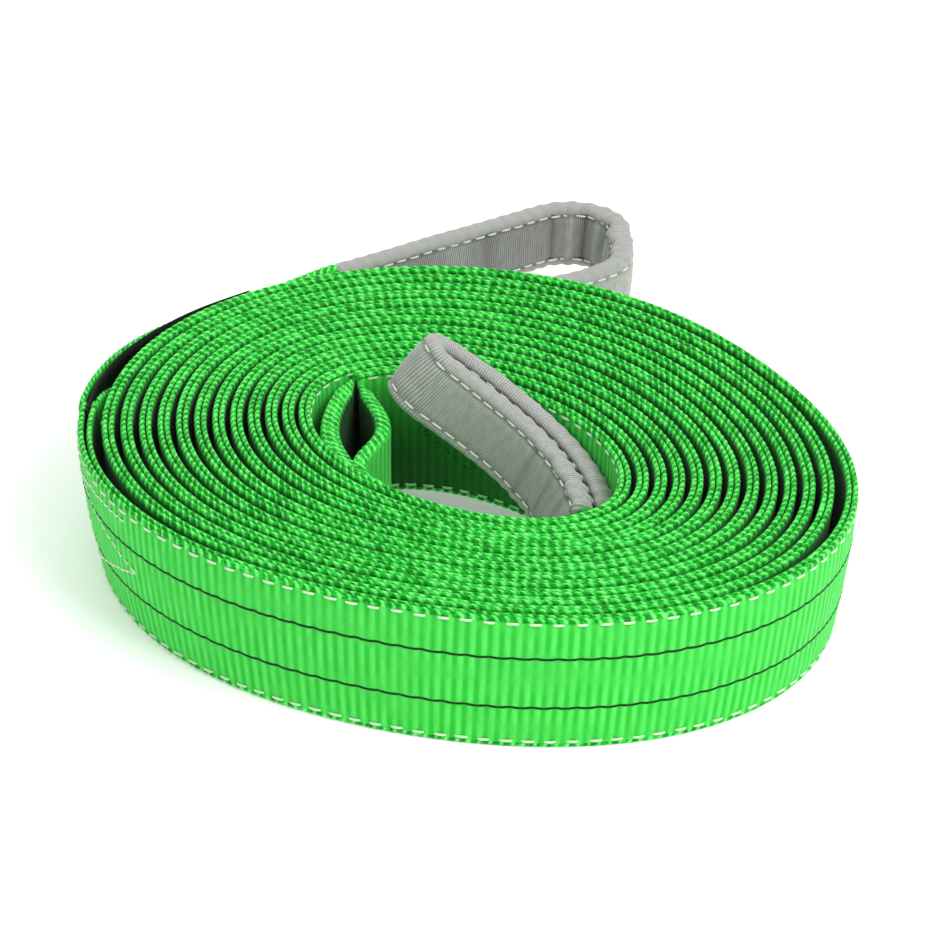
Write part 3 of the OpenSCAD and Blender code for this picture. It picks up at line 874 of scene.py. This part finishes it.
NEAR_HEADING = 51
FAR_LENGTH = 132
SLEEVE_T = 13.0
RIM_GAP = 0.8
BOW_SHIFT = np.array([4.5, 10.5])     # the cloth's own bow is tighter and lies further out than the pin
BOW_R = 23.5
KNEE = np.array([-4, -46])             # from the bow's end to the middle of the near side
bow = mounts["outer_eye_bow"]
bow_at = np.array(bow["pos_m"][:2]) / MM + BOW_SHIFT
sleeve_mid = bow["pos_m"][2] / MM
sleeve_half_w = (sleeve_high - sleeve_low) / 2


def outer_eye_points():
    """Up the far side, tightly round the bow, back on the near side and along the coil's rim."""
    far_tangent = bow_at + BOW_R * heading(FAR_HEADING + 90)
    far = far_tangent - np.linspace(FAR_LENGTH, 0, 9)[:-1, None] * heading(FAR_HEADING)
    arc = [bow_at + BOW_R * heading(a) for a in np.linspace(FAR_HEADING + 90, 4, 18)]
    hug = [np.interp(coil_u(a), coil.u, np.arange(len(coil.u))) for a in np.arange(452, 472, 3)]
    hug = [coil.beside(SLEEVE_T / 2 + RIM_GAP)[int(round(i))] for i in hug]
    out = hug[0] - hug[1]
    out /= np.linalg.norm(out)
    start = arc[-1] - [0, 4]
    knee = arc[-1] + KNEE
    down = bezier(start, start - [0, 14], knee + 14 * heading(NEAR_HEADING), knee, 9)
    near = bezier(knee, knee - 26 * heading(NEAR_HEADING), hug[0] + 24 * out, hug[0], 12)
    return np.concatenate([far, arc, down[:-1], near[:-1], hug])


eye_line = Line(outer_eye_points(), 0.6)
bow_u = FAR_LENGTH + BOW_R * math.radians(65)
outer_folds = [
    (FAR_LENGTH + 2, -0.9, 2.2, 1), (FAR_LENGTH + 14, 1.5, 2.6, 1), (FAR_LENGTH + 24, -1.2, 2.4, 1),
    (FAR_LENGTH + 35, 1.4, 3.0, 1), (FAR_LENGTH + 47, -1.8, 2.4, 1), (FAR_LENGTH + 58, 1.7, 3.2, 1),
    (FAR_LENGTH + 70, -1.9, 2.0, 1), (FAR_LENGTH + 80, 1.2, 3.0, 1), (FAR_LENGTH + 66, -0.8, 2.5, -1),
    (FAR_LENGTH + 54, -1.6, 1.2, 1), (70, 0.6, 7, 1), (92, -0.6, 5, 1),
]


def outer_pucker(u):
    return 0.3 + 0.35 * np.exp(-((u - bow_u) / 45)**2)


def eye_blend(piece):
    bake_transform(piece)


outer_sleeve = sleeve_strip(
    "outer_eye_sleeve_cloth", eye_line, sleeve_half_w, SLEEVE_T / 2, sleeve_mid,
    outer_folds, outer_pucker, lean)
past_sleeve = [int(np.argmin(np.abs(coil_angle - a))) for a in (473, 474.5, 476)]
band_points = np.concatenate([eye_line.at, coil.beside(SLEEVE_T / 2 + RIM_GAP)[past_sleeve]])
outer_band = folded_band("outer_eye_webbing_band", Line(band_points, 1.6), 14.3, 2.7, sleeve_mid, lean)
outer_cloth = [(outer_sleeve, "outer_eye_sleeve", "sleeve"), (outer_band, "outer_eye_webbing", "webbing")]
for piece, node, slot in outer_cloth:
    eye_blend(piece)
    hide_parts(node)
for node, sign in (("outer_sleeve_upper_seam", 1), ("outer_sleeve_lower_seam", -1)):
    row = sleeve_stitches(
        node + "_thread", eye_line, SLEEVE_T / 2, sleeve_mid,
        sign * (sleeve_half_w - SLEEVE_SEAM_INSET), lean)
    eye_blend(row)
    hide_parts(node)


# ---- inner eye, built lying along +X, then turned to its heading and climb -----------------

INNER_LENGTH = 124.3
INNER_BOW_R = 9.5
INNER_ROOT_R = 6.4
ROOT_TUCK = 8                 # length of sleeve tucked down beside the wall behind the root
INNER_ROOT = (48.7, -35.0, 33.0)
INNER_HEADINGS = (99.6, 187.2)        # at its root and at its tip, as are the next two
INNER_CLIMBS = (8.3, 36.8)
INNER_LEANS = (23.1, 0.5)


def arch_axes(x):
    """Directions along, across and up the inner eye at a distance from its root."""
    share = np.clip(x / INNER_LENGTH, 0, 1)[..., None]
    turn, climb, lean_by = (
        np.radians(a + (b - a) * share) for a, b in (INNER_HEADINGS, INNER_CLIMBS, INNER_LEANS))
    flat = np.zeros_like(turn)
    along = np.concatenate([np.cos(climb) * np.cos(turn), np.cos(climb) * np.sin(turn), np.sin(climb)], -1)
    upright = np.concatenate(
        [-np.sin(climb) * np.cos(turn), -np.sin(climb) * np.sin(turn), np.cos(climb)], -1)
    level = np.concatenate([-np.sin(turn), np.cos(turn), flat], -1)
    across = np.cos(lean_by) * level + np.sin(lean_by) * upright
    up = np.cos(lean_by) * upright - np.sin(lean_by) * level
    return along, across, up


def into_hole(co):
    """From the eye's own straight axes to the arch it makes in the hole."""
    stations = np.arange(-20, INNER_LENGTH + 20, 1.0)
    steps = arch_axes(stations)[0]
    path = np.concatenate([[np.zeros(3)], np.cumsum((steps[1:] + steps[:-1]) / 2, 0)])
    path += INNER_ROOT - path[int(np.argmin(np.abs(stations)))]
    x = co[..., 0]
    centre = np.stack([np.interp(x, stations, path[:, k]) for k in range(3)], -1)
    _, across, up = arch_axes(x)
    return centre + co[..., 1:2] * across + co[..., 2:3] * up


def inner_eye_points():
    bow_x = INNER_LENGTH - INNER_BOW_R - SLEEVE_T / 2
    x = np.linspace(-ROOT_TUCK, bow_x, 13)
    apart = INNER_ROOT_R + (INNER_BOW_R - INNER_ROOT_R) * x / bow_x
    arc = [np.array([bow_x, 0]) + INNER_BOW_R * heading(a) for a in np.linspace(90, -90, 9)]
    out = np.stack([x, apart], 1)
    back = np.stack([x, -apart], 1)[::-1]
    return np.concatenate([out[:-1], arc, back[1:]])


inner_line = Line(inner_eye_points(), 0.6)
inner_folds = [
    (12, -0.9, 2.6, -1), (21, 0.7, 3, -1), (29, -1.0, 2.0, -1), (39, 0.7, 3, -1), (48, -0.8, 2.2, -1),
    (INNER_LENGTH - 8, 0.8, 3, 1), (INNER_LENGTH + 6, -1.2, 2.2, 1),
]


def inner_pucker(u):
    near_root = np.exp(-(u / 45)**2) + np.exp(-((u - inner_line.u[-1]) / 45)**2)
    return 0.2 + 0.9 * near_root


def inner_blend(piece):
    start, end = (Vector(into_hole(np.array([x, 0.0, 0.0]))) * MM for x in (4, 40))
    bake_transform(piece)


inner_sleeve = sleeve_strip(
    "inner_eye_sleeve_cloth", inner_line, sleeve_half_w, SLEEVE_T / 2, 0,
    inner_folds, inner_pucker, into_hole)
inner_band = folded_band("inner_eye_webbing_band", Line(inner_line.at, 1.6), 14.3, 2.7, 0, into_hole)
inner_cloth = [(inner_sleeve, "inner_eye_sleeve", "sleeve"), (inner_band, "inner_eye_webbing", "webbing")]
for piece, node, slot in inner_cloth:
    inner_blend(piece)
    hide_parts(node)
for node, sign in (("inner_sleeve_upper_seam", 1), ("inner_sleeve_lower_seam", -1)):
    row = sleeve_stitches(
        node + "_thread", inner_line, SLEEVE_T / 2, 0,
        sign * (sleeve_half_w - SLEEVE_SEAM_INSET), into_hole)
    inner_blend(row)
    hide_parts(node)


# ---- legs of the inner eye -----------------------------------------------------------------

inner_throat = coil.at[-1]
inner_loops = outlines("inner_eye_legs")
wall_loop, free_loop = sorted(inner_loops, key=lambda loop: loop[:, 1].min())
# Where the two legs part and close again beside the throat, before they follow the wall to the eye
WALL_LEAF = [(-56, 51), (-60, 38), (-63, 24), (-64.5, 8), (-63.5, -8), (-59.5, -23), (-55, -34)]
FREE_LEAF = [(-53, 47), (-49, 36), (-45, 25), (-41.5, 12), (-41, 0), (-44.5, -13), (-49, -25), (-50, -34)]
inner_legs = [("wall", wall_loop, -1, WALL_LEAF, 9.0), ("free", free_loop, 1, FREE_LEAF, 7.5)]
for name, loop, side, leaf, start_t in inner_legs:
    points = middle_line(loop, inner_throat)
    points = points[points[:, 1].argmin() - 8 :]
    mouth = into_hole(np.array([-3.0, side * INNER_ROOT_R, 0.0]))[:2]
    points = np.concatenate([leaf, points, [mouth]])
    leg = folding_leg(
        f"inner_eye_{name}_leg", points, start_t, 4.4, (0.5, web_top - 3), (23, 36), 0.3, 0.9, 0.7 + side,
        hollow=0.0 if name == "wall" else 1.0)
    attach(leg, "coil")
    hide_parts("inner_eye_legs")


# ---- stage ---------------------------------------------------------------------------------

def build_stage():
    half = 6.0
    corners = [(-half, -half, 0), (half, -half, 0), (half, half, 0), (-half, half, 0)]
    mesh = bpy.data.meshes.new("floor")
    mesh.from_pydata(corners, [], [(0, 1, 2, 3)])
    floor = bpy.data.objects.new("floor", mesh)
    bpy.context.scene.collection.objects.link(floor)
    n = Nodes("floor_paint")
    grain = n.noise(3, 2)
    colour = n.mix(grain, (0.93, 0.93, 0.93, 1), (0.96, 0.96, 0.96, 1))
    paint = n.finish(colour, 0.9, grain, 0.05, 0, 0.1)
    shader = next(node for node in paint.node_tree.nodes if node.type == "BSDF_PRINCIPLED")
    shader.inputs["Emission Color"].default_value = (1, 1, 1, 1)
    shader.inputs["Emission Strength"].default_value = 0.22
    mesh.materials.append(paint)
    world = bpy.data.worlds.new("studio")
    bpy.context.scene.world = world
    world.use_nodes = True
    world.node_tree.nodes["Background"].inputs[0].default_value = (1, 1, 1, 1)
    world.node_tree.nodes["Background"].inputs[1].default_value = 0.75
    lamps = [("key", (0.9, -0.8, 1.5), 21, 0.9), ("rim", (-0.2, 1.5, 1.3), 8, 1.2)]
    for name, place_at, energy, size_m in lamps:
        lamp = bpy.data.lights.new(name, "AREA")
        lamp.energy = energy
        lamp.size = size_m
        holder = bpy.data.objects.new(name, lamp)
        holder.location = place_at
        holder.rotation_euler = (-Vector(place_at)).to_track_quat("-Z", "Y").to_euler()
        bpy.context.scene.collection.objects.link(holder)


def build_camera():
    """Looks along +Y and down on the coil from two metres, with a long lens."""
    distance, elevation, tilt = 2.0, 28.5, 2.33
    data = bpy.data.cameras.new("camera")
    data.lens = 166.7
    data.sensor_width = 36
    data.shift_x = 0.0070
    data.shift_y = 0.0791
    camera = bpy.data.objects.new("camera", data)
    bpy.context.scene.collection.objects.link(camera)
    aim = Matrix.Rotation(math.radians(90 - elevation), 4, "X") @ Matrix.Rotation(math.radians(tilt), 4, "Z")
    away = Vector((0, -math.cos(math.radians(elevation)), math.sin(math.radians(elevation)))) * distance
    camera.matrix_world = Matrix.Translation(away + Vector((-0.0002, -0.0007, 0))) @ aim
    bpy.context.scene.camera = camera


build_stage()
build_camera()
bpy.context.scene.view_settings.view_transform = "Standard"
